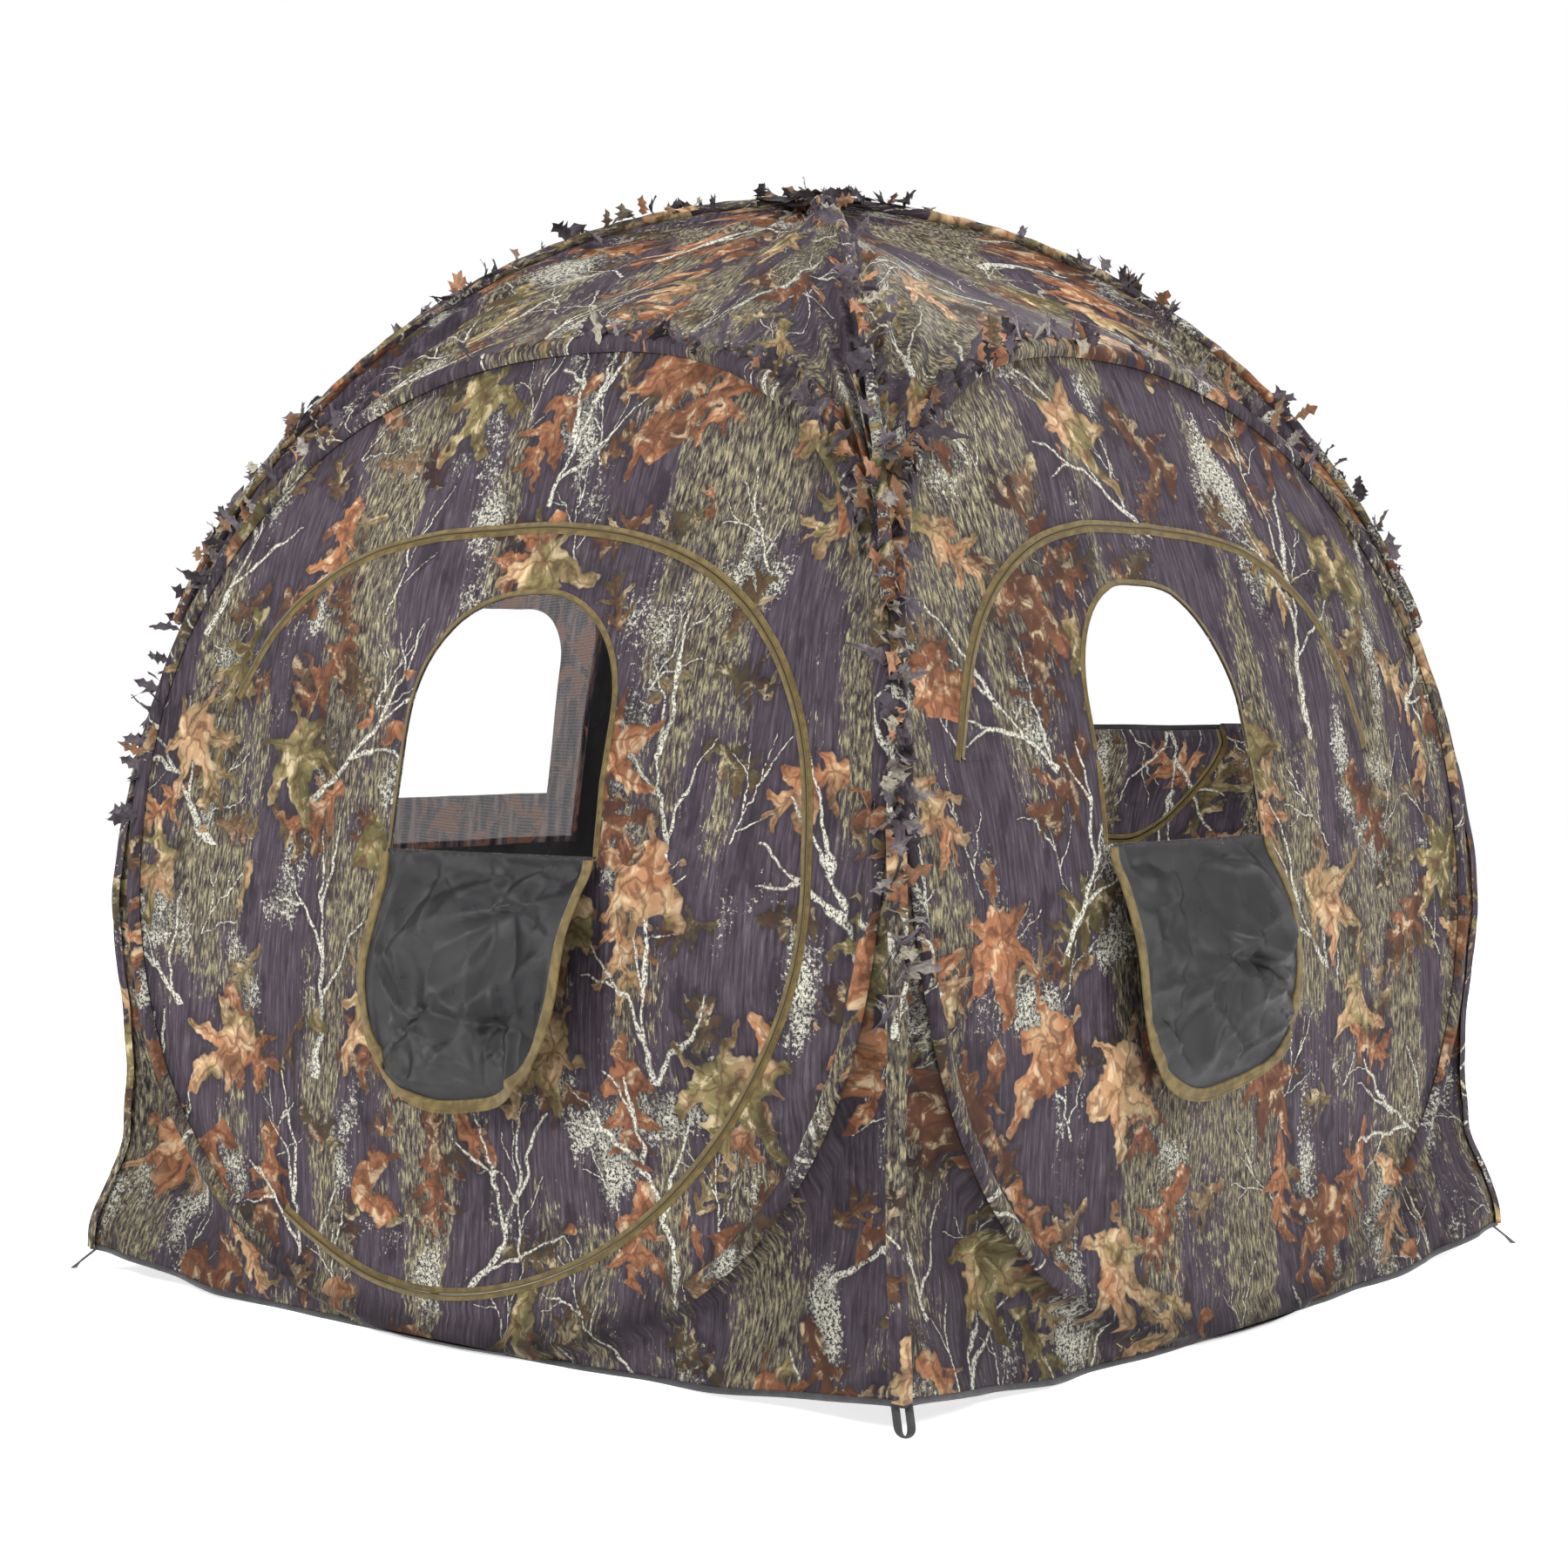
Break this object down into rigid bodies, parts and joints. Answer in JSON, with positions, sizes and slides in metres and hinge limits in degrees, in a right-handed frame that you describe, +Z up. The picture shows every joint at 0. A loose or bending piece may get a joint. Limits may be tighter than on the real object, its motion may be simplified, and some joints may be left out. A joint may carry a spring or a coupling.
{
  "type": "pop up ground blind",
  "caption": "Pop up ground blind: a square spring-hoop cloth cabin with a domed roof, a zipped door, zipped shooting panels and drop-down window flaps.",
  "frame": {"origin": "on the ground under the peak, at the centre of the square base", "axes": "+Z up; the door wall faces -Y, the side window wall faces +X, the rear shooting panel wall faces +Y, the mesh-bordered window wall faces -X"},
  "size_m": [1.6436, 1.6436, 1.6443],
  "materials": {
    "camo_cloth": "matte camouflage print",
    "black_lining": "black coated inside face",
    "steel": "spring steel",
    "fibreglass": "black fibreglass",
    "ferrule_metal": "plain tube",
    "elastic": "elastic shock cord",
    "zip_tape": "olive zip tape",
    "zip_metal": "dark slider",
    "cord": "black cord",
    "mesh": "open mesh",
    "webbing": "black webbing"
  },
  "bodies": {
    "shell": {"wall_a": "camo_cloth", "wall_b": "camo_cloth", "wall_c": "camo_cloth", "wall_d": "camo_cloth", "hoop_sleeve_a": "camo_cloth", "hoop_sleeve_b": "camo_cloth", "hoop_sleeve_c": "camo_cloth", "hoop_sleeve_d": "camo_cloth", "steel_hoop_a": "steel", "steel_hoop_b": "steel", "steel_hoop_c": "steel", "steel_hoop_d": "steel", "leaf_trims": "camo_cloth", "hem_bindings": "webbing", "corner_bindings": "camo_cloth", "ground_loops": "webbing", "roof_rods": "fibreglass", "rod_ferrules": "ferrule_metal", "rod_shock_cords": "elastic", "rod_tips": "fibreglass", "rod_pockets": "camo_cloth", "ridge_sleeves": "camo_cloth", "roof_cap": "camo_cloth", "roof_panel_a": "camo_cloth", "roof_panel_b": "camo_cloth", "roof_panel_c": "camo_cloth", "roof_panel_d": "camo_cloth", "door_zip_wall_half": "zip_tape", "arc_zip_wall_half_b": "zip_tape", "arc_zip_wall_half_c": "zip_tape", "window_zip_feet": "zip_tape", "window_zip_d": "zip_tape", "mesh_border_d": "mesh"},
    "door": {"door_panel": "camo_cloth", "door_zip_door_half": "zip_tape", "window_zip_a": "zip_tape"},
    "panel_b": {"arc_panel_b": "camo_cloth", "arc_zip_panel_half_b": "zip_tape", "window_zip_b": "zip_tape"},
    "panel_c": {"arc_panel_c": "camo_cloth", "arc_zip_panel_half_c": "zip_tape", "window_zip_c": "zip_tape", "window_flap_c": "black_lining", "flap_zip_c": "zip_tape"},
    "door_slider": {"door_slider": "zip_metal"},
    "door_pull": {"door_pull": "cord"},
    "arc_slider_b": {"arc_slider_b": "zip_metal"},
    "arc_pull_b": {"arc_pull_b": "cord"},
    "arc_slider_c": {"arc_slider_c": "zip_metal"},
    "arc_pull_c": {"arc_pull_c": "cord"},
    "flap_a": {"window_flap_a": "black_lining", "flap_zip_a": "zip_tape"},
    "flap_slider_a": {"flap_slider_a": "zip_metal"},
    "flap_b": {"window_flap_b": "black_lining", "flap_zip_b": "zip_tape"},
    "flap_slider_b": {"flap_slider_b": "zip_metal"},
    "flap_slider_c": {"flap_slider_c": "zip_metal"},
    "flap_d": {"window_flap_d": "black_lining", "flap_zip_d": "zip_tape"},
    "flap_slider_d": {"flap_slider_d": "zip_metal"}
  },
  "joints": [
    {"name": "door_swing", "type": "hinge", "parent": "shell", "child": "door", "pos_m": [-0.326, -0.78033, 0.145], "axis": [0.2528, -0.088, -0.9635], "range_deg": [0, 100]},
    {"name": "flap_a_lift", "type": "hinge", "parent": "door", "child": "flap_a", "pos_m": [0.068, -0.74444, 0.66], "axis": [-1, 0, 0], "range_deg": [0, 165]},
    {"name": "flap_slider_a_slide", "type": "slide", "parent": "flap_a", "child": "flap_slider_a", "axis": [0, -0.0935, -0.9956], "range_m": [0, 0.08]},
    {"name": "flap_b_lift", "type": "hinge", "parent": "shell", "child": "flap_b", "pos_m": [0.74244, -0.117, 0.676], "axis": [0, -1, 0], "range_deg": [0, 165]},
    {"name": "flap_slider_b_slide", "type": "slide", "parent": "flap_b", "child": "flap_slider_b", "axis": [0.1009, 0, -0.9949], "range_m": [0, 0.08]},
    {"name": "flap_d_lift", "type": "hinge", "parent": "shell", "child": "flap_d", "pos_m": [-0.74808, -0.025, 0.628], "axis": [0, 1, 0], "range_deg": [0, 150]},
    {"name": "flap_slider_d_slide", "type": "slide", "parent": "flap_d", "child": "flap_slider_d", "axis": [-0.0785, 0, -0.9969], "range_m": [0, 0.08]},
    {"name": "panel_b_fold", "type": "hinge", "parent": "shell", "child": "panel_b", "pos_m": [0.72223, 0, 0.79], "axis": [0, -1, 0], "range_deg": [0, 150]},
    {"name": "panel_c_close", "type": "hinge", "parent": "shell", "child": "panel_c", "pos_m": [0, 0.71489, 0.828], "axis": [-1, 0, 0], "range_deg": [0, 150]},
    {"name": "door_slider_slide", "type": "slide", "parent": "shell", "child": "door_slider", "axis": [1, 0, 0], "range_m": [-0.06, 0.06]},
    {"name": "flap_slider_c_slide", "type": "slide", "parent": "shell", "child": "flap_slider_c", "axis": [0, -0.1516, 0.9884], "range_m": [0, 0.06]},
    {"name": "arc_slider_b_slide", "type": "slide", "parent": "shell", "child": "arc_slider_b", "axis": [-0.2161, -0.2838, 0.9342], "range_m": [0, 0.06]},
    {"name": "arc_slider_c_slide", "type": "slide", "parent": "shell", "child": "arc_slider_c", "axis": [-0.4604, -0.1788, 0.8696], "range_m": [0, 0.06]},
    {"name": "door_pull_swing", "type": "hinge", "parent": "door_slider", "child": "door_pull", "pos_m": [-0.016, -0.78555, 0.066], "axis": [-1, 0, 0], "range_deg": [0, 120]},
    {"name": "arc_pull_b_swing", "type": "hinge", "parent": "arc_slider_b", "child": "arc_pull_b", "pos_m": [0.72664, 0.408, 0.844], "axis": [0, -1, 0], "range_deg": [0, 120]},
    {"name": "arc_pull_c_swing", "type": "hinge", "parent": "arc_slider_c", "child": "arc_pull_c", "pos_m": [0.594, 0.73509, 0.798], "axis": [1, 0, 0], "range_deg": [0, 120]}
  ]
}
